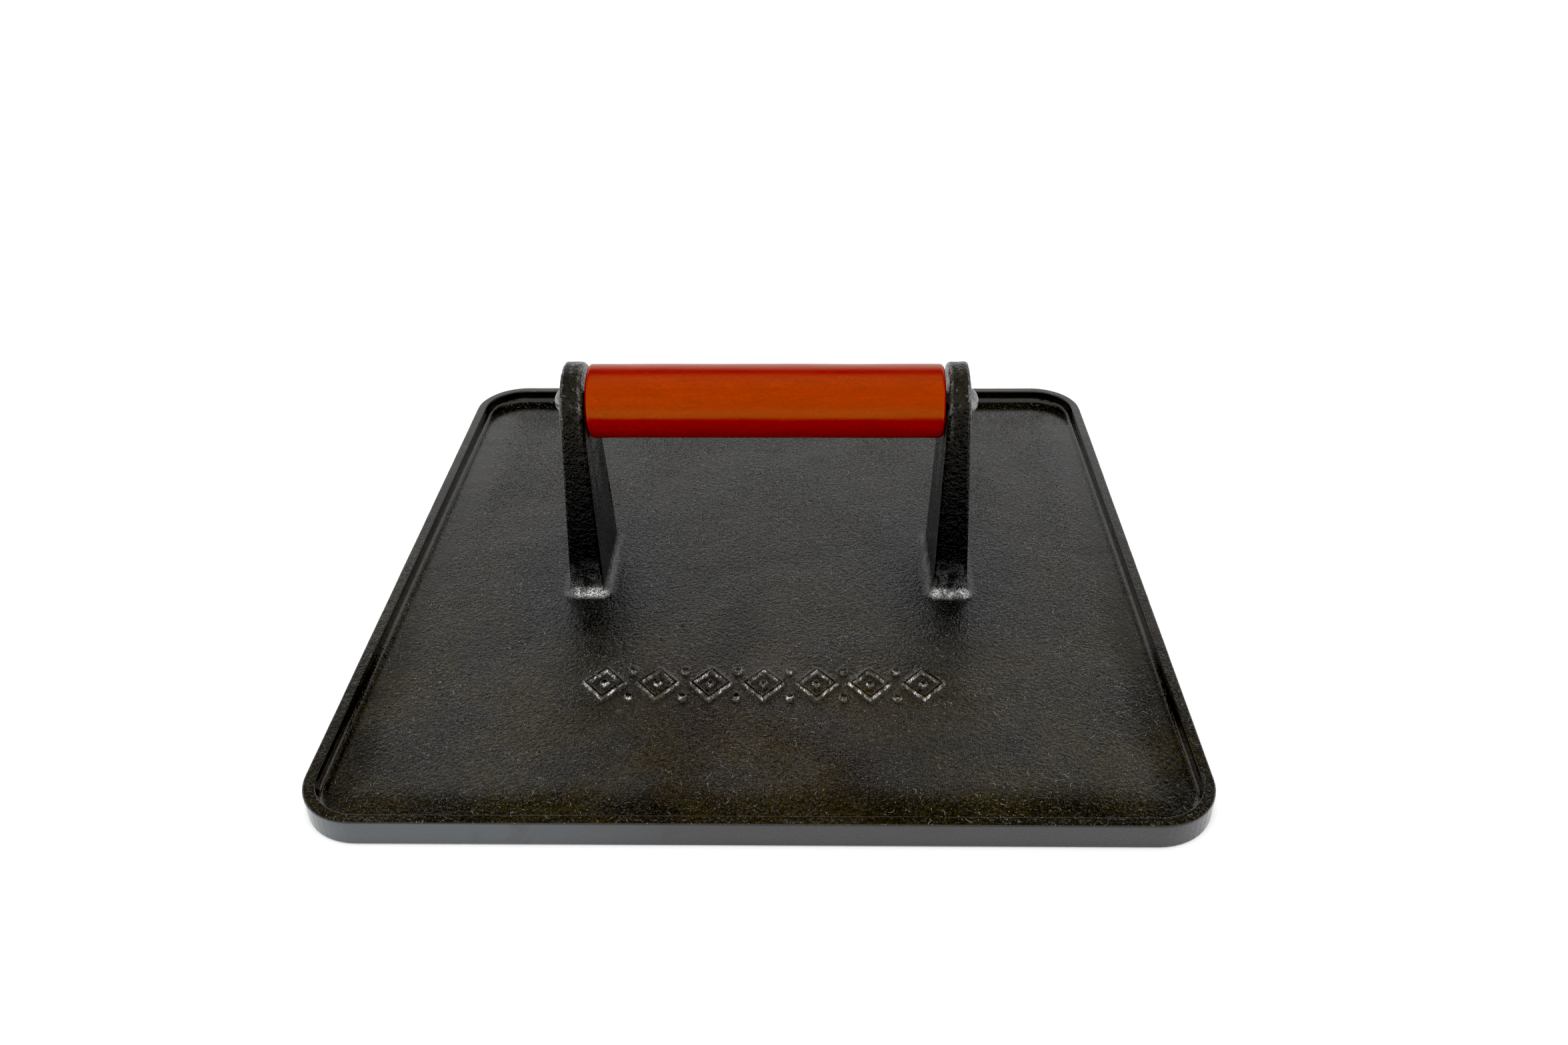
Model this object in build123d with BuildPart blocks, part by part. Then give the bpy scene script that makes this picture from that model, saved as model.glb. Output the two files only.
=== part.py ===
"""Square cast-iron bacon press: a rimmed plate cast in one with two posts, and a turned wooden grip.

Millimetres. +Z is up, +X runs along the grip, and -Y is the front, where the ornament is. The origin is
at the middle of the flat underside.
"""
from build123d import *
import math
import os

os.makedirs("parts", exist_ok=True)

# Plate
plate_width = 222.0
plate_corner_radius = 16.0
floor_height = 3.0
rim_height = 7.2
rim_width = 3.0
cove_radius = 1.6
rim_outer_round = 0.5
rim_inner_round = 0.3
underside_round = 0.6

# Posts
post_centre = 53.9
post_foot_thickness = 10.2
post_foot_depth = 31.4
post_draft_angle = 1.9
eye_radius = 11.1
post_edge_round = 1.0
foot_fillet = 3.5
post_root_depth = 1.0

# Grip
grip_axis_height = 60.2
grip_radius = 10.55
grip_length = 100.0
grip_end_round = 1.1
grip_bore_mouth = 0.5

# Screw and barrel nut
screw_radius = 2.5
screw_hole_radius = 2.75
running_clearance = 0.08
thread_clearance = 0.03
barrel_radius = 3.4
barrel_hole_radius = 3.6
head_radius = 4.2
head_height = 3.2
seat_radius = 4.8
seat_depth = 0.25
drive_width = 1.0
drive_length = 4.4
drive_depth = 1.7
screw_tip_chamfer = 0.6
screw_tip_gap = 0.8

# Raised ornament on the front of the plate
ornament_y = -56.0
ornament_height = 1.1
ornament_sunk = 0.2
ornament_taper = 25.0
ornament_edge_round = 0.35
lozenge_count = 7
lozenge_pitch = 14.4
lozenge_width = 13.0
lozenge_depth = 15.0
lozenge_band = 0.56
lozenge_heart = 0.28
pip_radius = 1.6
pip_row_spacing = 10.8

# How far cutting tools run past the faces they open
cut_overrun = 2.0

# Sizes that follow from the ones above
post_base_height = floor_height - post_root_depth
draft_slope = math.tan(math.radians(post_draft_angle))
axis_rise = grip_axis_height - floor_height
post_half_thickness = post_foot_thickness / 2 - axis_rise * draft_slope
post_outer_face = post_centre + post_half_thickness
post_inner_face = post_centre - post_half_thickness
seat_face = post_outer_face - seat_depth
inner_width = plate_width - 2 * rim_width
inner_corner_radius = plate_corner_radius - rim_width


def post_half_thickness_at(height):
    """Half the post's thickness along X at a height above the underside."""
    return post_foot_thickness / 2 - (height - floor_height) * draft_slope


def head_profile():
    """Half outline of a domed head standing on the seat, in the plane's own (along, out) coordinates."""
    Polyline((0, 0), (0, head_radius))
    RadiusArc((0, head_radius), (head_height, 0), head_sphere_radius)
    Line((head_height, 0), (0, 0))


head_sphere_radius = (head_radius**2 + head_height**2) / (2 * head_height)

# Where a straight side of the post, rising from the foot, meets the round eye
half_foot = post_foot_depth / 2
foot_to_axis = math.hypot(half_foot, axis_rise)
tangent_angle = math.acos(eye_radius / foot_to_axis) - math.atan2(axis_rise, half_foot)
tangent_y = eye_radius * math.cos(tangent_angle)
tangent_z = grip_axis_height + eye_radius * math.sin(tangent_angle)

# One post, at +X: a blade with a round eye, drafted on both sides
cut_top = grip_axis_height + eye_radius + cut_overrun
with BuildPart() as post_form:
    with BuildSketch(Plane.YZ.offset(post_centre)):
        with BuildLine():
            Polyline(
                (-tangent_y, tangent_z),
                (-half_foot, floor_height),
                (-half_foot, post_base_height),
                (half_foot, post_base_height),
                (half_foot, floor_height),
                (tangent_y, tangent_z),
            )
            ThreePointArc(
                (tangent_y, tangent_z),
                (0, grip_axis_height + eye_radius),
                (-tangent_y, tangent_z),
            )
        make_face()
    extrude(amount=post_foot_thickness, both=True)
    with BuildSketch(Plane.XZ):
        with BuildLine():
            Polyline(
                (post_centre - post_half_thickness_at(post_base_height), post_base_height),
                (post_centre + post_half_thickness_at(post_base_height), post_base_height),
                (post_centre + post_half_thickness_at(cut_top), cut_top),
                (post_centre - post_half_thickness_at(cut_top), cut_top),
                close=True,
            )
        make_face()
    extrude(amount=post_foot_depth, both=True, mode=Mode.INTERSECT)

# Raised ornament: a row of open lozenges, each with a small one at its heart, and round pips between them
with BuildSketch() as lozenge:
    Polygon(
        (lozenge_width / 2, 0),
        (0, lozenge_depth / 2),
        (-lozenge_width / 2, 0),
        (0, -lozenge_depth / 2),
    )
with BuildPart() as ornament:
    with BuildSketch(Plane.XY.offset(floor_height - ornament_sunk)):
        with Locations((0, ornament_y)):
            with GridLocations(lozenge_pitch, 1, lozenge_count, 1):
                add(lozenge.sketch)
                add(scale(lozenge.sketch, by=lozenge_band, mode=Mode.PRIVATE), mode=Mode.SUBTRACT)
                add(scale(lozenge.sketch, by=lozenge_heart, mode=Mode.PRIVATE))
            with GridLocations(lozenge_pitch, pip_row_spacing, lozenge_count - 1, 2):
                Circle(pip_radius)
    extrude(amount=ornament_sunk + ornament_height, taper=ornament_taper)
    fillet(ornament.faces().group_by(Axis.Z)[-1].edges(), ornament_edge_round)

# The casting: rimmed plate, posts and ornament in one piece of iron
with BuildPart() as casting:
    with BuildSketch(Plane.XY):
        RectangleRounded(plate_width, plate_width, plate_corner_radius)
    extrude(amount=rim_height)
    with BuildSketch(Plane.XY.offset(floor_height)):
        RectangleRounded(inner_width, inner_width, inner_corner_radius)
    extrude(amount=rim_height, mode=Mode.SUBTRACT)
    floor_face = casting.faces().filter_by(Plane.XY).sort_by(Axis.Z)[-2]
    fillet(floor_face.edges(), cove_radius)
    rim_face = casting.faces().filter_by(Plane.XY).sort_by(Axis.Z)[-1]
    fillet(rim_face.outer_wire().edges(), rim_outer_round)
    rim_face = casting.faces().filter_by(Plane.XY).sort_by(Axis.Z)[-1]
    fillet(rim_face.inner_wires()[0].edges(), rim_inner_round)
    fillet(casting.faces().sort_by(Axis.Z)[0].edges(), underside_round)
    add(post_form.part)
    mirror(post_form.part, about=Plane.YZ)
    fillet(casting.edges().filter_by(lambda e: e.bounding_box().max.Z > 2 * rim_height), post_edge_round)
    floor_face = casting.faces().filter_by(Plane.XY).sort_by(Axis.Z)[-2]
    fillet(floor_face.inner_wires()[0].edges() + floor_face.inner_wires()[1].edges(), foot_fillet)
    for hole_radius, plane in (
        (screw_hole_radius, Plane.YZ.offset(post_inner_face - cut_overrun)),
        (barrel_hole_radius, Plane.YZ.offset(-post_outer_face - cut_overrun)),
    ):
        with BuildSketch(plane):
            with Locations((0, grip_axis_height)):
                Circle(hole_radius)
        extrude(amount=2 * (post_half_thickness + cut_overrun), mode=Mode.SUBTRACT)
    for plane in (Plane.YZ.offset(seat_face), Plane.YZ.offset(-seat_face - cut_overrun)):
        with BuildSketch(plane):
            with Locations((0, grip_axis_height)):
                Circle(seat_radius)
        extrude(amount=cut_overrun, mode=Mode.SUBTRACT)
    add(ornament.part)
casting.part.label = "plate_casting"
export_step(casting.part, "parts/plate_casting.step")

# Everything on the handle's axis is turned about this line
handle_plane = Plane((0, 0, grip_axis_height), x_dir=(1, 0, 0), z_dir=(0, -1, 0))
handle_axis = Axis((0, 0, grip_axis_height), (1, 0, 0))

# Wooden grip, bored through for the screw
bore_radius = screw_radius + running_clearance
with BuildPart() as grip:
    with BuildSketch(handle_plane):
        with Locations((0, (grip_radius + bore_radius) / 2)):
            Rectangle(grip_length, grip_radius - bore_radius)
    revolve(axis=handle_axis)
    chamfer(grip.edges().filter_by(GeomType.CIRCLE).group_by(SortBy.RADIUS)[0], grip_bore_mouth)
    fillet(grip.edges().filter_by(GeomType.CIRCLE).group_by(SortBy.RADIUS)[-1], grip_end_round)
grip.part.label = "wooden_grip"
export_step(grip.part, "parts/wooden_grip.step")

# Through screw: domed head with a cross recess outside the right post, its tip inside the barrel nut
screw_tip = -seat_face + screw_tip_gap
with BuildPart() as screw:
    with BuildSketch(handle_plane):
        with Locations(((screw_tip + seat_face) / 2, screw_radius / 2)):
            Rectangle(seat_face - screw_tip, screw_radius)
    revolve(axis=handle_axis)
    chamfer(screw.edges().filter_by(GeomType.CIRCLE).sort_by(Axis.X)[0], screw_tip_chamfer)
    with BuildSketch(Plane((seat_face, 0, grip_axis_height), x_dir=(1, 0, 0), z_dir=(0, -1, 0))):
        with BuildLine():
            head_profile()
        make_face()
    revolve(axis=handle_axis)
    with BuildSketch(Plane.YZ.offset(seat_face + head_height)):
        with Locations((0, grip_axis_height)):
            Rectangle(drive_length, drive_width)
            Rectangle(drive_width, drive_length)
    extrude(amount=-drive_depth, mode=Mode.SUBTRACT)
screw.part.label = "through_screw"
export_step(screw.part, "parts/through_screw.step")

# Barrel nut: the same domed head outside the left post, slotted, with a threaded barrel through the post
with BuildPart() as barrel_nut:
    with BuildSketch(handle_plane):
        with Locations(((-seat_face - post_inner_face) / 2, barrel_radius / 2)):
            Rectangle(seat_face - post_inner_face, barrel_radius)
    revolve(axis=handle_axis)
    with BuildSketch(Plane((-seat_face, 0, grip_axis_height), x_dir=(-1, 0, 0), z_dir=(0, 1, 0))):
        with BuildLine():
            head_profile()
        make_face()
    revolve(axis=handle_axis)
    with BuildSketch(Plane.YZ.offset(-seat_face)):
        with Locations((0, grip_axis_height)):
            Circle(screw_radius + thread_clearance)
    extrude(amount=seat_face - post_inner_face + cut_overrun, mode=Mode.SUBTRACT)
    with BuildSketch(Plane.YZ.offset(-seat_face - head_height)):
        with Locations((0, grip_axis_height)):
            Rectangle(2 * head_radius, drive_width)
    extrude(amount=drive_depth, mode=Mode.SUBTRACT)
barrel_nut.part.label = "barrel_nut"
export_step(barrel_nut.part, "parts/barrel_nut.step")
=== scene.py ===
"""The looks of the bacon press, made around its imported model.

Blender's own units are metres. Sizes that are easier to read in millimetres are multiplied by MM.
"""
import math
import random

import bmesh
import bpy
from mathutils import Matrix, Vector, noise


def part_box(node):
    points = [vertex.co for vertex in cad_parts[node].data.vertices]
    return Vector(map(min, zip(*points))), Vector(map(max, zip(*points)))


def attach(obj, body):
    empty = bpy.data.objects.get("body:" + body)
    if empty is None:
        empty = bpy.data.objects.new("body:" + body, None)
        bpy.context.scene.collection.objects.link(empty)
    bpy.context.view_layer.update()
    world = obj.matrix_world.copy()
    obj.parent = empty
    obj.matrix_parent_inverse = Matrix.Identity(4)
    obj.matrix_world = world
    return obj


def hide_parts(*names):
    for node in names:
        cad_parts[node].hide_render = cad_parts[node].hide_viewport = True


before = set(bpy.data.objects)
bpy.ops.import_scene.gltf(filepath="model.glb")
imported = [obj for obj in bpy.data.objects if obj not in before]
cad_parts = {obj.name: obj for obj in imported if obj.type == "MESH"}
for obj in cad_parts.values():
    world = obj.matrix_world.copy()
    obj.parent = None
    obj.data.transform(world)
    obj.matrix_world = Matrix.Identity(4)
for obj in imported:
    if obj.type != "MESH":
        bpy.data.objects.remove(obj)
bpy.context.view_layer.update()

MM = 0.001

# Places taken from the frame
PLATE_LOW, PLATE_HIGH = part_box("plate_casting")
GRIP_LOW, GRIP_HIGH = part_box("wooden_grip")
GRIP_AXIS_Z = (GRIP_LOW.z + GRIP_HIGH.z) / 2
GRIP_RADIUS = (GRIP_HIGH.z - GRIP_LOW.z) / 2
PLATE_HALF = PLATE_HIGH.x

# Sizes of the casting's own features
FLOOR_Z = 3.0 * MM
RIM_Z = 7.2 * MM
POST_FROM_Z = 6.6 * MM
POST_CENTRE = 54 * MM
ORNAMENT_Y = -56 * MM
ORNAMENT_HALF_LENGTH = 60 * MM
ORNAMENT_HALF_DEPTH = 12 * MM

# Sizes of the grip's own features
BORE_RADIUS = 2.58 * MM
BORE_MOUTH = 0.5 * MM
GRIP_END_ROUND = 1.1 * MM
DENT_SEED = 11

# The camera: its place, and its turns in degrees
CAMERA_PLACE = (0.0141, -0.32039, 0.22918)
CAMERA_YAW = 0.871
CAMERA_PITCH = 33.271
CAMERA_ROLL = 0.383
CAMERA_LENS = 29.196
CAMERA_SHIFT_X = -0.0100

# Light that the display shows as black
BLACK_LEVEL = 0.008

# Greys of the light tent, as (height of the direction, grey)
TENT_BEHIND = (
    (0.0, 1.04),
    (0.16, 1.0),
    (0.47, 0.94),
    (0.57, 0.58),
    (0.67, 0.10),
    (0.84, 0.12),
    (0.95, 0.75),
    (1.0, 0.85),
)
TENT_IN_FRONT = ((0.0, 1.04), (0.16, 1.0), (0.45, 0.98), (1.0, 0.90))

# Places of the colour sockets of Blender's mix node
MIX_A = 6
MIX_B = 7
MIX_RESULT = 2


# ---------------------------------------------------------------- mesh helpers
def new_piece(name, bm, material, body, replaced):
    """Turns a bmesh into a smooth-shaded piece that rides a body and stands for a CAD node."""
    mesh = bpy.data.meshes.new(name)
    bm.to_mesh(mesh)
    bm.free()
    mesh.shade_smooth()
    piece = bpy.data.objects.new(name, mesh)
    bpy.context.scene.collection.objects.link(piece)
    piece.data.materials.append(material)
    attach(piece, body)
    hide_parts(replaced)
    return piece


def steps(low, high, step):
    """Evenly spaced places strictly between low and high, about a step apart."""
    count = max(1, round((high - low) / step))
    return [low + (high - low) * i / count for i in range(1, count)]


def dice(bm, faces, axis, places):
    """Cuts faces by planes square to an axis, halving the list of places each time, so each is cut seldom.

    Verts and edges are gathered in the faces' own order, so that every run gives the same mesh.
    """
    if not places or not faces:
        return faces
    tolerance = 1e-7
    middle = len(places) // 2
    place = places[middle]
    low, high, crossing = [], [], []
    for face in faces:
        along = [v.co[axis] for v in face.verts]
        if max(along) <= place + tolerance:
            low.append(face)
        elif min(along) >= place - tolerance:
            high.append(face)
        else:
            crossing.append(face)
    if crossing:
        centre, normal = [0, 0, 0], [0, 0, 0]
        centre[axis] = place
        normal[axis] = 1
        verts = list(dict.fromkeys(v for face in crossing for v in face.verts))
        edges = list(dict.fromkeys(e for face in crossing for e in face.edges))
        cut = bmesh.ops.bisect_plane(
            bm, geom=verts + edges + crossing, dist=tolerance, plane_co=centre, plane_no=normal
        )
        for face in cut["geom"]:
            if isinstance(face, bmesh.types.BMFace):
                (low if face.calc_center_median()[axis] < place else high).append(face)
    return dice(bm, low, axis, places[:middle]) + dice(bm, high, axis, places[middle + 1:])


def smooth_step(low, high, value):
    """0 below low, 1 above high, and a smooth rise between."""
    t = min(1, max(0, (value - low) / (high - low)))
    return t * t * (3 - 2 * t)


def lumps(point, size, octaves=2):
    """Smooth noise of about -1 to 1 whose lumps are about size across."""
    return noise.fractal(point / size, 1.0, 2.0, octaves)


# ---------------------------------------------------------------- node helpers
def opaque(value):
    """A colour of three numbers with its alpha added. Anything else is left as it is."""
    return (*value, 1) if isinstance(value, tuple) and len(value) == 3 else value


def set_stops(node, stops):
    """Gives a colour ramp its (place, colour) stops. A plain number is a grey."""
    elements = node.color_ramp.elements
    while len(elements) < len(stops):
        elements.new(0.5)
    for element, (place, colour) in zip(elements, stops):
        element.position = place
        element.color = opaque(colour if isinstance(colour, tuple) else (colour,) * 3)


class Nodes:
    """A short way to write a material's node tree. Places and sizes in it are in millimetres."""

    def __init__(self, name):
        self.material = bpy.data.materials.new(name)
        self.material.use_nodes = True
        self.tree = self.material.node_tree
        self.shader = self.tree.nodes["Principled BSDF"]
        coordinates = self.add("ShaderNodeTexCoord")
        in_mm = self.add("ShaderNodeVectorMath", operation="SCALE")
        in_mm.inputs["Scale"].default_value = 1 / MM
        self.link(coordinates.outputs["Object"], in_mm.inputs[0])
        self.place = in_mm.outputs[0]
        self.normal = self.add("ShaderNodeNewGeometry").outputs["Normal"]

    def add(self, kind, **settings):
        node = self.tree.nodes.new(kind)
        for key, value in settings.items():
            setattr(node, key, value)
        return node

    def link(self, output, target):
        self.tree.links.new(output, target)

    def feed(self, target, value):
        """Links an output to a socket, or sets the socket's own value."""
        if isinstance(value, bpy.types.NodeSocket):
            self.link(value, target)
        else:
            target.default_value = value

    def math(self, operation, first, second=0.0, clamp=False):
        node = self.add("ShaderNodeMath", operation=operation, use_clamp=clamp)
        self.feed(node.inputs[0], first)
        self.feed(node.inputs[1], second)
        return node.outputs[0]

    def product(self, first, *others):
        for other in others:
            first = self.math("MULTIPLY", first, other)
        return first

    def largest(self, first, *others):
        for other in others:
            first = self.math("MAXIMUM", first, other)
        return first

    def vector(self, operation, first, second=(0, 0, 0)):
        node = self.add("ShaderNodeVectorMath", operation=operation)
        self.feed(node.inputs[0], first)
        self.feed(node.inputs[1], second)
        return node.outputs["Value" if operation == "LENGTH" else "Vector"]

    def stretched(self, factors, place=None):
        return self.vector("MULTIPLY", place or self.place, factors)

    def part(self, vector, letter):
        node = self.add("ShaderNodeSeparateXYZ")
        self.link(vector, node.inputs[0])
        return node.outputs[letter]

    def noise(self, size, detail=2.0, roughness=0.5, place=None, distortion=0.0):
        """Noise of 0 to 1 with features about size millimetres across."""
        node = self.add("ShaderNodeTexNoise")
        self.link(place or self.place, node.inputs["Vector"])
        node.inputs["Scale"].default_value = 1 / size
        node.inputs["Detail"].default_value = detail
        node.inputs["Roughness"].default_value = roughness
        node.inputs["Distortion"].default_value = distortion
        return node.outputs["Fac"]

    def cells(self, size, place=None):
        node = self.add("ShaderNodeTexVoronoi")
        self.link(place or self.place, node.inputs["Vector"])
        node.inputs["Scale"].default_value = 1 / size
        return node

    def ramp(self, value, *stops):
        """Colours, or plain numbers as greys, at places along 0 to 1."""
        node = self.add("ShaderNodeValToRGB")
        set_stops(node, stops)
        self.link(value, node.inputs[0])
        return node.outputs[0]

    def span(self, value, low, high, to_low=0.0, to_high=1.0, smooth=True):
        """Maps low..high to to_low..to_high and holds the ends."""
        node = self.add("ShaderNodeMapRange", interpolation_type="SMOOTHSTEP" if smooth else "LINEAR")
        self.feed(node.inputs["Value"], value)
        node.inputs["From Min"].default_value = low
        node.inputs["From Max"].default_value = high
        node.inputs["To Min"].default_value = to_low
        node.inputs["To Max"].default_value = to_high
        return node.outputs[0]

    def mix(self, share, first, second):
        """Two colours mixed. share is how much of the second there is."""
        node = self.add("ShaderNodeMix", data_type="RGBA")
        self.feed(node.inputs["Factor"], share)
        self.feed(node.inputs[MIX_A], opaque(first))
        self.feed(node.inputs[MIX_B], opaque(second))
        return node.outputs[MIX_RESULT]

    def attribute(self, name):
        return self.add("ShaderNodeAttribute", attribute_name=name).outputs["Fac"]

    def bump(self, height, depth, normal=None):
        """Adds a height of 0 to 1, which stands for depth metres, to the surface."""
        node = self.add("ShaderNodeBump")
        node.inputs["Distance"].default_value = depth
        self.link(height, node.inputs["Height"])
        if normal is not None:
            self.link(normal, node.inputs["Normal"])
        return node.outputs[0]

    def set(self, **values):
        for key, value in values.items():
            self.feed(self.shader.inputs[key.replace("_", " ")], opaque(value))


# ---------------------------------------------------------------- cast iron
def lint(nodes, spacing, share, width, curl, seed):
    """Short curled fibres lying on the XY plane: a mask of 0 to 1."""
    shortest = 0.08 * spacing
    longer_by = 0.22 * spacing
    place = nodes.vector("ADD", nodes.stretched((1, 1, 0)), (seed, seed * 0.37, 0))
    cells = nodes.cells(spacing, place)
    from_centre = nodes.vector("SUBTRACT", place, cells.outputs["Position"])
    random_colour = cells.outputs["Color"]
    turn = nodes.math("MULTIPLY", nodes.part(random_colour, "X"), 2 * math.pi)
    rotate = nodes.add("ShaderNodeVectorRotate", rotation_type="Z_AXIS")
    nodes.link(from_centre, rotate.inputs["Vector"])
    nodes.link(turn, rotate.inputs["Angle"])
    along = nodes.part(rotate.outputs[0], "X")
    across = nodes.part(rotate.outputs[0], "Y")
    bow = nodes.math("MULTIPLY", nodes.math("SUBTRACT", nodes.part(random_colour, "Y"), 0.5), 2 * curl)
    bent = nodes.math("SUBTRACT", across, nodes.product(along, along, bow))
    thin = nodes.span(nodes.math("ABSOLUTE", bent), width * 0.4, width, 1, 0)
    length = nodes.math("MULTIPLY_ADD", nodes.part(random_colour, "Y"), longer_by)
    length.node.inputs[2].default_value = shortest
    inside = nodes.math("LESS_THAN", nodes.math("ABSOLUTE", along), length)
    there = nodes.math("LESS_THAN", nodes.part(random_colour, "Z"), share)
    return nodes.product(thin, inside, there)


def dust(nodes, spacing, share, radius):
    """Scattered dots: a mask of 0 to 1."""
    cells = nodes.cells(spacing)
    near = nodes.span(nodes.math("MULTIPLY", cells.outputs["Distance"], spacing), radius * 0.5, radius, 1, 0)
    there = nodes.math("LESS_THAN", nodes.part(cells.outputs["Color"], "Y"), share)
    return nodes.math("MULTIPLY", near, there)


def lint_and_dust(nodes):
    """What has settled on the faces that look up: a mask of 0 to 1."""
    long_fibres = lint(nodes, spacing=3.3, share=0.16, width=0.050, curl=0.6, seed=0.0)
    short_fibres = lint(nodes, spacing=1.6, share=0.10, width=0.050, curl=1.4, seed=31.7)
    fibres = nodes.math("MULTIPLY", nodes.largest(long_fibres, short_fibres), 0.90)
    fine_specks = dust(nodes, spacing=0.9, share=0.11, radius=0.12)
    specks = dust(nodes, spacing=2.7, share=0.22, radius=0.17)
    large_specks = dust(nodes, spacing=9.0, share=0.10, radius=0.26)
    crumbs = nodes.span(nodes.noise(0.42, 3, 0.75), 0.64, 0.71)
    settled = nodes.largest(fibres, fine_specks, specks, large_specks, crumbs)
    faces_up = nodes.span(nodes.part(nodes.normal, "Z"), 0.7, 0.95)
    strewn = nodes.span(nodes.noise(17, 3, 0.6), 0.38, 0.62, 0.30, 0.90)
    return nodes.product(settled, faces_up, strewn)


def raised_ornament(nodes):
    """1 on the raised ornament, and 0 elsewhere."""
    across = nodes.math("ABSOLUTE", nodes.part(nodes.place, "X"))
    from_row = nodes.math("ABSOLUTE", nodes.math("SUBTRACT", nodes.part(nodes.place, "Y"), ORNAMENT_Y / MM))
    in_length = nodes.math("LESS_THAN", across, ORNAMENT_HALF_LENGTH / MM)
    in_depth = nodes.math("LESS_THAN", from_row, ORNAMENT_HALF_DEPTH / MM)
    off_floor = nodes.span(nodes.part(nodes.place, "Z"), FLOOR_Z / MM + 0.15, FLOOR_Z / MM + 0.4)
    return nodes.product(in_length, in_depth, off_floor)


def seasoning(nodes):
    """Black seasoning, with thin brown patches towards the front. The brown is left out around the posts as
    painted shade, where the posts darken the plate.
    """
    black = (0.0006, 0.0007, 0.0006)
    brown = (0.0250, 0.0172, 0.0020)
    patches = nodes.span(nodes.noise(24, 4, 0.55), 0.36, 0.62, 0.35, 1.0)
    towards_front = nodes.span(nodes.part(nodes.place, "Y"), 70, -85, 0.30, 1.0, smooth=False)
    # Painted shade: the brown is kept off the plate around the posts, where they darken it.
    from_post = nodes.vector("SUBTRACT", nodes.vector("ABSOLUTE", nodes.place), (POST_CENTRE / MM, 0, 0))
    post_distance = nodes.vector("LENGTH", nodes.stretched((1.0, 0.62, 0.4), from_post))
    outside_post_shade = nodes.span(post_distance, 14, 34)
    broken_up = nodes.span(nodes.noise(0.9, 3, 0.65), 0.42, 0.62, 0.25, 1.0)
    return nodes.mix(nodes.product(patches, towards_front, outside_post_shade, broken_up), black, brown)


def bare_iron_and_glints(nodes, raised):
    """Edges and fillets where the seasoning is rubbed down to bright, grainy iron, with the ornament's share
    laid mostly on slopes that face the front as painted glints: a mask of 0 to 1.
    """
    sloping = nodes.span(nodes.part(nodes.normal, "Z"), 0.70, 0.97, 1.0, 0.0)
    # Painted glints: on the ornament the bright iron is laid mostly on slopes that face the front.
    front_facing_glints = nodes.span(nodes.part(nodes.normal, "Y"), 0.25, -0.45, 0.25, 1.0)
    sparks = nodes.span(nodes.noise(1.5, 2, 0.6), 0.47, 0.58, 0.08, 1.0)
    ornament_bare_and_glints = nodes.product(raised, sloping, front_facing_glints, sparks)
    grains = nodes.span(nodes.noise(0.34, 3, 0.7), 0.43, 0.56)
    patches = nodes.span(nodes.noise(3.1, 2, 0.5), 0.40, 0.56, 0.25, 1.0)
    return nodes.product(nodes.largest(nodes.attribute("worn"), ornament_bare_and_glints), grains, patches)


def ground_side_and_reflection(nodes):
    """The plate's outer side is ground smooth, with a few dark smudges, and blue-grey at its left end as a
    painted reflection of bluish light.
    """
    grey = (0.020, 0.020, 0.020)
    reflected_blue_grey = (0.046, 0.054, 0.061)
    smudge = (0.020, 0.018, 0.016)
    # Painted reflection: the left end is tinted blue-grey for bluish light mirrored in the side.
    painted_reflection_at_left = nodes.span(nodes.part(nodes.place, "X"), -65, -5, 1.0, 0.0)
    smudges = nodes.span(nodes.noise(21, 3, 0.5, distortion=0.8), 0.55, 0.70)
    return nodes.mix(smudges, nodes.mix(painted_reflection_at_left, grey, reflected_blue_grey), smudge)


def sand_cast_relief(nodes, ground, raised):
    """Pebbles and pits, coarser on the posts, and faint on the rim, the ornament and the ground side."""
    across = nodes.math("ABSOLUTE", nodes.part(nodes.place, "X"))
    depth = nodes.part(nodes.place, "Y")
    by_rim = nodes.span(nodes.largest(across, nodes.math("ABSOLUTE", depth)), 92, 102)
    smooth_parts = nodes.largest(ground, raised, by_rim)
    keep = nodes.math("SUBTRACT", 1.0, nodes.math("MULTIPLY", smooth_parts, 0.80))
    patchy = nodes.span(nodes.noise(30, 2, 0.5), 0.36, 0.64, 0.45, 1.0)
    less_at_back = nodes.span(depth, 95, 10, 0.55, 1.0)
    pebble_share = nodes.product(keep, patchy, less_at_back)
    on_post = nodes.span(nodes.part(nodes.place, "Z"), 7.5, 12)
    hammered = nodes.noise(1.3, 3, 0.6)
    pebbles = nodes.noise(0.85, 2, 0.6)
    pits = nodes.span(nodes.noise(0.62, 1, 0.5, nodes.vector("ADD", nodes.place, (40, 0, 0))), 0.60, 0.74)
    sand = nodes.noise(0.34, 2, 0.6)
    relief = nodes.bump(nodes.product(hammered, on_post, keep), 0.50 * MM)
    relief = nodes.bump(nodes.math("MULTIPLY", pebbles, pebble_share), 0.46 * MM, relief)
    relief = nodes.bump(nodes.math("MULTIPLY", pits, pebble_share), -0.30 * MM, relief)
    return nodes.bump(nodes.math("MULTIPLY", sand, keep), 0.07 * MM, relief)


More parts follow.
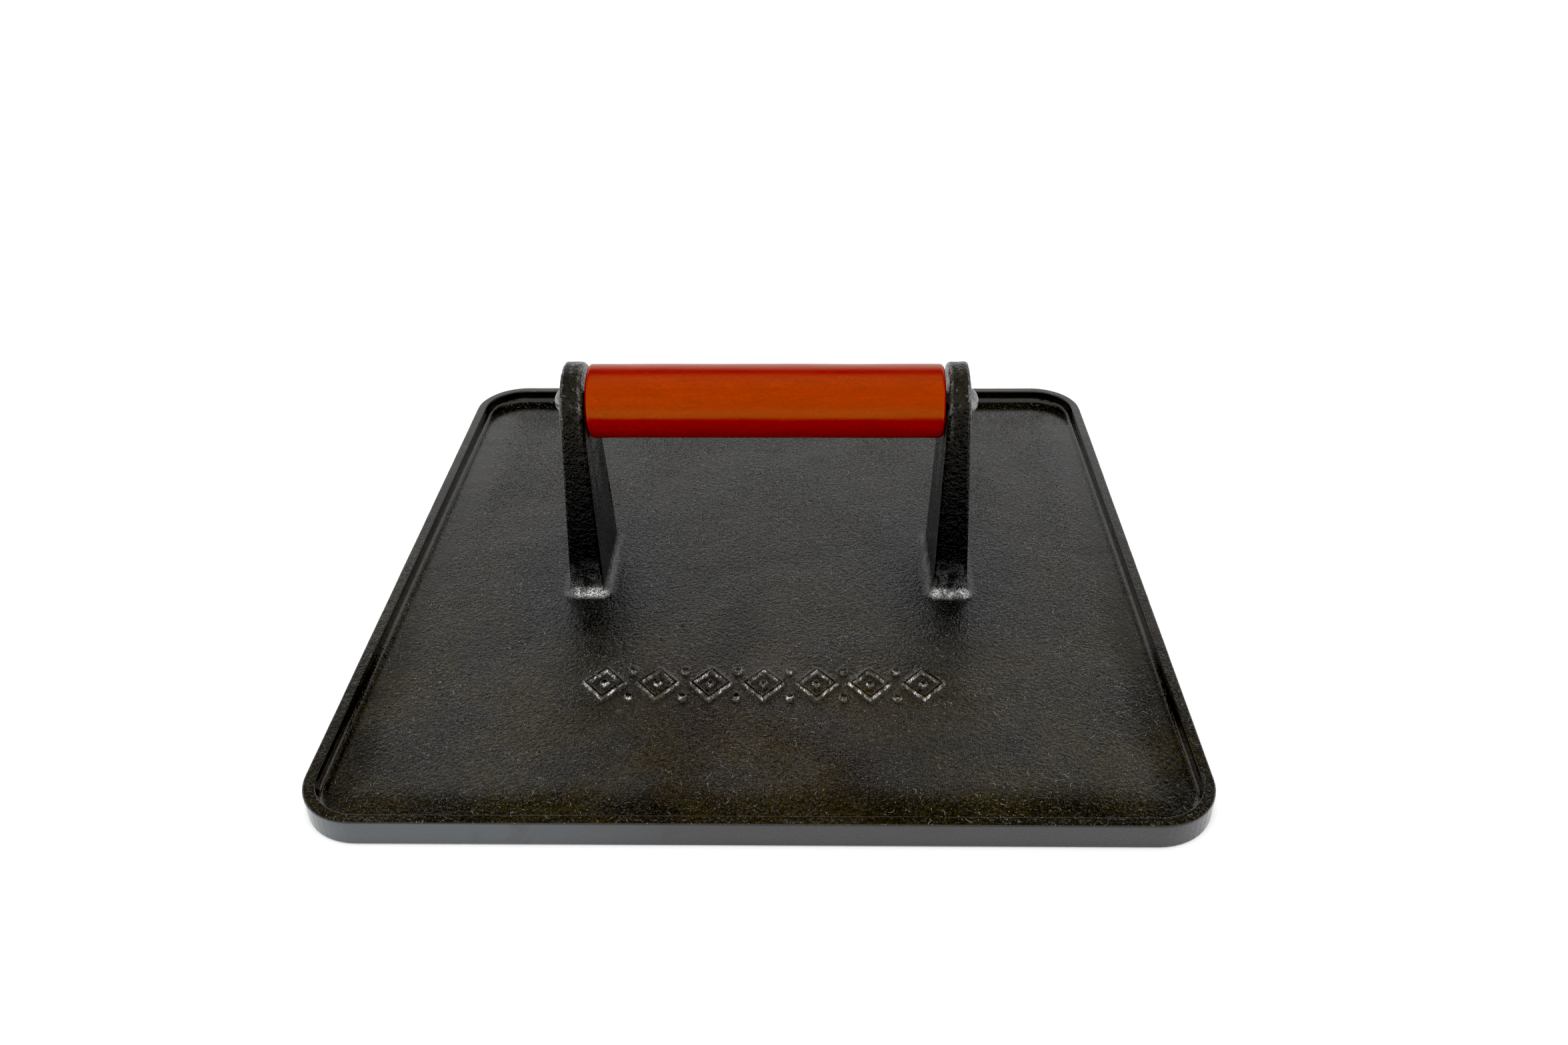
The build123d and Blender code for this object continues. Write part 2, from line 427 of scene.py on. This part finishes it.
def cast_iron(name, shine):
    """Seasoned cast iron. shine is how strongly it mirrors what it faces squarely."""
    bare_and_glint_colour = (0.92, 0.92, 0.90)
    dirt_colour = (0.42, 0.42, 0.39)
    nodes = Nodes(name)
    ground = nodes.attribute("ground")
    raised = raised_ornament(nodes)
    # The bright iron is partly real wear and partly painted glints.
    bare_and_glints = bare_iron_and_glints(nodes, raised)
    dirt = lint_and_dust(nodes)
    colour = nodes.mix(bare_and_glints, seasoning(nodes), bare_and_glint_colour)
    colour = nodes.mix(ground, colour, ground_side_and_reflection(nodes))
    colour = nodes.mix(dirt, colour, dirt_colour)
    roughness = nodes.span(nodes.noise(14, 3, 0.5), 0.35, 0.68, 0.08, 0.14)
    roughness = nodes.math("ADD", roughness, nodes.math("MULTIPLY", dirt, 0.4), clamp=True)
    nodes.set(Base_Color=colour, Metallic=bare_and_glints, Roughness=roughness, Specular_IOR_Level=shine)
    nodes.set(Normal=sand_cast_relief(nodes, ground, raised))
    return nodes.material


# ---------------------------------------------------------------- other materials
def varnished_wood():
    """Red varnish over fine, straight grain, with darker blotches."""
    nodes = Nodes("varnished_wood")
    broad = nodes.noise(2.2, 5, 0.7, place=nodes.stretched((0.20, 1, 1)), distortion=0.3)
    fine = nodes.noise(0.30, 4, 0.7, place=nodes.stretched((0.22, 1, 1)))
    blotches = nodes.noise(8, 4, 0.6, place=nodes.stretched((0.5, 1, 1)))
    ripples = nodes.noise(4.5, 2, 0.5, place=nodes.stretched((0.25, 1, 1)))
    colour = nodes.ramp(
        broad,
        (0.30, (0.235, 0.0010, 0.0004)),
        (0.46, (0.280, 0.0020, 0.0006)),
        (0.58, (0.305, 0.0040, 0.0008)),
        (0.74, (0.355, 0.0110, 0.0012)),
    )
    colour = nodes.mix(nodes.span(fine, 0.44, 0.64, 0, 0.80), colour, (0.19, 0.001, 0.0004))
    colour = nodes.mix(nodes.span(blotches, 0.44, 0.64, 0, 0.5), colour, (0.27, 0.0012, 0.0004))
    nodes.set(Base_Color=colour, Roughness=nodes.span(blotches, 0.3, 0.7, 0.16, 0.24))
    nodes.set(Specular_IOR_Level=0.60, Specular_Tint=(1.0, 0.88, 0.16))
    nodes.set(Normal=nodes.bump(ripples, 0.06 * MM, nodes.bump(fine, 0.012 * MM)))
    return nodes.material


def plated_steel():
    """Dull plated steel with smears."""
    nodes = Nodes("plated_steel")
    smears = nodes.noise(1.4, 4, 0.6)
    nodes.set(
        Base_Color=nodes.ramp(smears, (0.35, (0.16, 0.16, 0.165)), (0.65, (0.32, 0.32, 0.33))),
        Metallic=1.0,
        Roughness=nodes.span(smears, 0.3, 0.7, 0.30, 0.48),
        Normal=nodes.bump(nodes.noise(0.5, 3, 0.6), 0.012 * MM),
    )
    return nodes.material


def pale_floor():
    """White paper that glows a little, so that it is white in the picture."""
    nodes = Nodes("pale_floor")
    paper = nodes.noise(1.1, 4, 0.6)
    nodes.set(
        Base_Color=nodes.ramp(paper, (0.3, (0.92, 0.92, 0.92)), (0.7, (0.95, 0.95, 0.95))),
        Roughness=0.9,
        Specular_IOR_Level=0.1,
        Emission_Color=(1.0, 1.0, 1.0),
        Emission_Strength=0.14,
        Normal=nodes.bump(paper, 0.02 * MM),
    )
    return nodes.material


# ---------------------------------------------------------------- the casting
def near_post(place, half_width, half_depth):
    """Whether a point lies within these distances of a post's middle, along X and along Y."""
    return abs(abs(place.x) - POST_CENTRE) < half_width and abs(place.y) < half_depth


def casting_relief(place):
    """How far a point of the cast surface stands in or out, in metres."""
    above_table = smooth_step(0.4 * MM, 1.6 * MM, place.z)
    on_post = smooth_step(POST_FROM_Z, 2 * POST_FROM_Z, place.z)
    swell = lumps(place, 24 * MM) * 0.05 * MM
    dimples = lumps(place, 4.2 * MM) * 0.028 * MM
    hammered = lumps(place, 2.1 * MM, 3) * 0.085 * MM * on_post
    return above_table * (swell + dimples + hammered)


def ground_share(place, normal):
    """1 on the outer side of the plate, which is ground smooth, and 0 elsewhere."""
    outermost = max(abs(place.x), abs(place.y)) > PLATE_HALF - 6 * MM
    outward = place.xy.dot(normal.xy) > 0
    return 1 - smooth_step(0.30, 0.75, abs(normal.z)) if outermost and outward and place.z < RIM_Z else 0.0


def wear_and_glint_share(place, normal, bend):
    """How far a point belongs to an edge that is rubbed bright, with the fronts of the post feet made
    brightest as painted glints. bend is the surface's turn per metre.
    """
    if near_post(place, 12 * MM, 26 * MM) and FLOOR_Z < place.z < 1.2 * RIM_Z:
        # Painted glints: the foot fillets are made brightest in front of the posts.
        front_glint = smooth_step(14 * MM, 16.5 * MM, -place.y)
        behind = smooth_step(14 * MM, 16.5 * MM, place.y)
        sloping = smooth_step(0.05, 0.3, 1 - normal.z) * smooth_step(0.0, 0.35, normal.z)
        return (0.12 + 0.88 * front_glint + 0.40 * behind) * sloping
    if place.z > 2 * RIM_Z:
        return 0.22 * smooth_step(300, 1000, bend)
    return 0.0


def belongs_to_post(face):
    """Whether a face of the CAD surface lies on a post, above its foot."""
    heights = [v.co.z for v in face.verts]
    return min(heights) > POST_FROM_Z - 0.2 * MM and max(heights) > 1.2 * RIM_Z


def cut_into_cells(bm):
    """Cuts the cast surface into small cells, finest on the posts, so that its unevenness can be modelled."""
    cell, post_cell = ((1.4 * MM, 0.75 * MM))
    under_cell = 8 * MM
    under_edge = PLATE_HALF - 1.5 * MM
    side_cuts = [2.4 * MM, 4.8 * MM]
    underside = [f for f in bm.faces if f.normal.z < -0.99 and f.calc_center_median().z < 0.01 * MM]
    posts = [f for f in bm.faces if belongs_to_post(f)]
    chosen = set(underside + posts)
    plate = [f for f in bm.faces if f not in chosen]
    for axis in (0, 1):
        inner = steps(-under_edge, under_edge, under_cell)
        underside = dice(bm, underside, axis, [-under_edge] + inner + [under_edge])
    for axis in (0, 1):
        plate = dice(bm, plate, axis, steps(PLATE_LOW[axis], PLATE_HIGH[axis], cell))
    dice(bm, plate, 2, side_cuts)
    for axis in (0, 1, 2):
        posts = dice(bm, posts, axis, steps(PLATE_LOW[axis], PLATE_HIGH[axis], post_cell))
    bm.normal_update()


def mark_and_roughen(bm):
    """Notes on each vert how ground it is and how worn or glinting it is, and then moves it in or out by the
    cast relief.
    """
    shortest = 0.1 * MM
    ground_layer = bm.verts.layers.float.new("ground")
    wear_and_glint_layer = bm.verts.layers.float.new("worn")
    places = []
    for vert in bm.verts:
        bends = [e.calc_face_angle(0) / max(e.calc_length(), shortest) for e in vert.link_edges]
        bend = max(bends, default=0)
        vert[ground_layer] = ground_share(vert.co, vert.normal)
        vert[wear_and_glint_layer] = wear_and_glint_share(vert.co, vert.normal, bend)
        places.append(vert.co + vert.normal * casting_relief(vert.co))
    for vert, place in zip(bm.verts, places):
        vert.co = place


def casting(plate_material, shaded_post_material):
    """The cast plate and posts: the CAD surface cut into small cells, with its unevenness modelled."""
    bm = bmesh.new()
    bm.from_mesh(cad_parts["plate_casting"].data)
    bmesh.ops.remove_doubles(bm, verts=bm.verts, dist=2e-6)
    bmesh.ops.dissolve_limit(
        bm, angle_limit=math.radians(0.3), use_dissolve_boundaries=False, verts=bm.verts, edges=bm.edges
    )
    cut_into_cells(bm)
    mark_and_roughen(bm)
    for face in bm.faces:
        centre = face.calc_center_median()
        # Faces on the posts take the duller second material, as painted shade.
        face.material_index = int(centre.z > POST_FROM_Z + 0.3 * MM and near_post(centre, 10 * MM, 30 * MM))
    bmesh.ops.triangulate(bm, faces=[f for f in bm.faces if len(f.verts) > 4])
    piece = new_piece("cast_plate_and_posts", bm, plate_material, "press", "plate_casting")
    piece.data.materials.append(shaded_post_material)
    weigh = piece.modifiers.new("flat_faces_stay_flat", "WEIGHTED_NORMAL")
    weigh.mode = "FACE_AREA_WITH_ANGLE"
    return piece


# ---------------------------------------------------------------- the grip
def grip_profile():
    """(distance in from the end, radius) pairs of the grip's end, from the bore outwards."""
    depth = 6 * MM
    parts = 8
    face_from = BORE_RADIUS + BORE_MOUTH
    face_width = GRIP_RADIUS - GRIP_END_ROUND - face_from
    points = [(depth, BORE_RADIUS), (BORE_MOUTH, BORE_RADIUS), (0, face_from)]
    points += [(0, face_from + face_width * i / parts) for i in range(1, parts)]
    for i in range(parts + 1):
        turn = math.radians(90 * i / parts)
        inward = GRIP_END_ROUND * (1 - math.cos(turn))
        points.append((inward, GRIP_RADIUS - GRIP_END_ROUND * (1 - math.sin(turn))))
    return points


def grip_outline(half):
    """(place along, radius) pairs from one end of the grip's bore, over the outside, to the other end."""
    end = grip_profile()
    start = -half + end[-1][0]
    outline = [(-half + d, r) for d, r in end]
    outline += [(x, GRIP_RADIUS) for x in steps(start, -start, 0.8 * MM)]
    outline += [(half - d, r) for d, r in reversed(end)]
    return outline


def grip_dents(half):
    """(place along, turn, size, depth) of each dent: small ones all over, and deeper nicks at both ends."""
    chance = random.Random(DENT_SEED)
    dents = []
    for _ in range(26):
        dents.append((chance.uniform(-half, half), chance.uniform(0, 2 * math.pi),
                      chance.uniform(0.5, 1.3) * MM, chance.uniform(0.03, 0.10) * MM))
    for side in (-1, 1):
        for _ in range(9):
            dents.append((side * (half - chance.uniform(0.1, 0.9) * MM), chance.uniform(0, 2 * math.pi),
                          chance.uniform(0.5, 1.1) * MM, chance.uniform(0.15, 0.35) * MM))
    return dents


def hollow_at(x, turn, radius, dents):
    """How deep the wood is worn in at a point of the grip's outside."""
    depth = 0.0
    for dent_x, dent_turn, size, deep in dents:
        if abs(dent_x - x) < 2 * size:
            arc = math.remainder(turn - dent_turn, 2 * math.pi) * radius
            depth += deep * math.exp(-((dent_x - x) ** 2 + arc**2) / (0.5 * size) ** 2)
    point = Vector((x * 0.3, math.cos(turn) * radius, math.sin(turn) * radius))
    return depth + 0.035 * MM * (1 + lumps(point, 7 * MM))


def turned_grip(material):
    """The wooden grip, turned on a lathe, with slight ripples and a few dents and nicked ends."""
    around = 144
    half = (GRIP_HIGH.x - GRIP_LOW.x) / 2
    dents = grip_dents(half)
    bm = bmesh.new()
    rings = []
    for x, radius in grip_outline(half):
        outside = radius > GRIP_RADIUS * 0.8
        ring = []
        for i in range(around):
            turn = 2 * math.pi * i / around
            r = radius - (hollow_at(x, turn, radius, dents) if outside else 0.0)
            ring.append(bm.verts.new((x, r * math.cos(turn), GRIP_AXIS_Z + r * math.sin(turn))))
        rings.append(ring)
    rings.append(rings[0])
    for first, second in zip(rings, rings[1:]):
        for i in range(around):
            j = (i + 1) % around
            bm.faces.new((first[i], first[j], second[j], second[i]))
    bmesh.ops.recalc_face_normals(bm, faces=bm.faces)
    return new_piece("turned_grip", bm, material, "grip", "wooden_grip")


# ---------------------------------------------------------------- stage
def floor(material):
    """A large floor, level with the plate's underside."""
    half_width = 6.0
    bm = bmesh.new()
    bmesh.ops.create_grid(bm, x_segments=8, y_segments=8, size=half_width)
    mesh = bpy.data.meshes.new("floor")
    bm.to_mesh(mesh)
    bm.free()
    stage = bpy.data.objects.new("floor", mesh)
    bpy.context.scene.collection.objects.link(stage)
    stage.data.materials.append(material)


def new_lamp(name, light):
    """A lamp that no surface mirrors."""
    lamp = bpy.data.objects.new(name, light)
    lamp.visible_glossy = False
    bpy.context.scene.collection.objects.link(lamp)
    return lamp


def softbox(name, place, aim, width, height, power):
    """A soft rectangular lamp that points at aim."""
    light = bpy.data.lights.new(name, "AREA")
    light.shape = "RECTANGLE"
    light.size = width
    light.size_y = height
    light.energy = power
    lamp = new_lamp(name, light)
    lamp.location = place
    lamp.rotation_mode = "QUATERNION"
    lamp.rotation_quaternion = (Vector(aim) - Vector(place)).to_track_quat("-Z", "Y")


def even_light(name, strength, spread):
    """Soft light from straight above, equally strong all over the floor. spread is its width in degrees."""
    light = bpy.data.lights.new(name, "SUN")
    light.energy = strength
    light.angle = math.radians(spread)
    new_lamp(name, light)


def tent_wall(tree, height, stops):
    """A grey that follows the height of the direction looked in."""
    ramp = tree.nodes.new("ShaderNodeValToRGB")
    set_stops(ramp, stops)
    tree.links.new(height, ramp.inputs[0])
    return ramp.outputs[0]


def surroundings():
    """A light tent: white at the horizon all round, and dim high up behind the object, short of the top."""
    world = bpy.data.worlds.new("tent")
    bpy.context.scene.world = world
    world.use_nodes = True
    tree = world.node_tree
    coordinates = tree.nodes.new("ShaderNodeTexCoord")
    split = tree.nodes.new("ShaderNodeSeparateXYZ")
    tree.links.new(coordinates.outputs["Generated"], split.inputs[0])
    side = tree.nodes.new("ShaderNodeMapRange")
    side.interpolation_type = "SMOOTHSTEP"
    side.inputs["From Min"].default_value = 0.15
    side.inputs["From Max"].default_value = -0.35
    tree.links.new(split.outputs["Y"], side.inputs["Value"])
    blend = tree.nodes.new("ShaderNodeMix")
    blend.data_type = "RGBA"
    tree.links.new(side.outputs[0], blend.inputs["Factor"])
    tree.links.new(tent_wall(tree, split.outputs["Z"], TENT_BEHIND), blend.inputs[MIX_A])
    tree.links.new(tent_wall(tree, split.outputs["Z"], TENT_IN_FRONT), blend.inputs[MIX_B])
    tree.links.new(blend.outputs[MIX_RESULT], tree.nodes["Background"].inputs["Color"])


def camera():
    data = bpy.data.cameras.new("camera")
    data.sensor_width = 36
    data.lens = CAMERA_LENS
    data.shift_x = CAMERA_SHIFT_X
    data.clip_start = 0.01
    eye = bpy.data.objects.new("camera", data)
    turn = (
        Matrix.Rotation(math.radians(CAMERA_YAW), 4, "Z")
        @ Matrix.Rotation(-math.radians(CAMERA_PITCH), 4, "X")
        @ Matrix.Rotation(math.radians(CAMERA_ROLL), 4, "Y")
        @ Matrix.Rotation(math.radians(90), 4, "X")
    )
    eye.matrix_world = Matrix.Translation(CAMERA_PLACE) @ turn
    bpy.context.scene.collection.objects.link(eye)
    bpy.context.scene.camera = eye


def photographic_contrast(view):
    """Plain display colours, with the deepest shadows drawn down to black as in a product photograph."""
    view.view_transform = "Standard"
    view.use_curve_mapping = True
    view.curve_mapping.black_level = (BLACK_LEVEL,) * 3
    view.curve_mapping.update()


def give(node, material):
    """Gives a CAD node a material and smooth shading."""
    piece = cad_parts[node]
    piece.data.materials.clear()
    piece.data.materials.append(material)
    piece.data.shade_smooth()


camera()
surroundings()
softbox("window", place=(-0.45, -0.95, 0.85), aim=(0, 0, 0), width=0.9, height=0.7, power=2.5)
even_light("overhead", strength=1.31, spread=50)
floor(pale_floor())
# The posts take a duller copy of the same iron as painted shade.
casting(cast_iron("cast_iron", shine=0.66), cast_iron("cast_iron_posts_shaded", shine=0.26))
turned_grip(varnished_wood())
steel = plated_steel()
give("through_screw", steel)
give("barrel_nut", steel)
photographic_contrast(bpy.context.scene.view_settings)
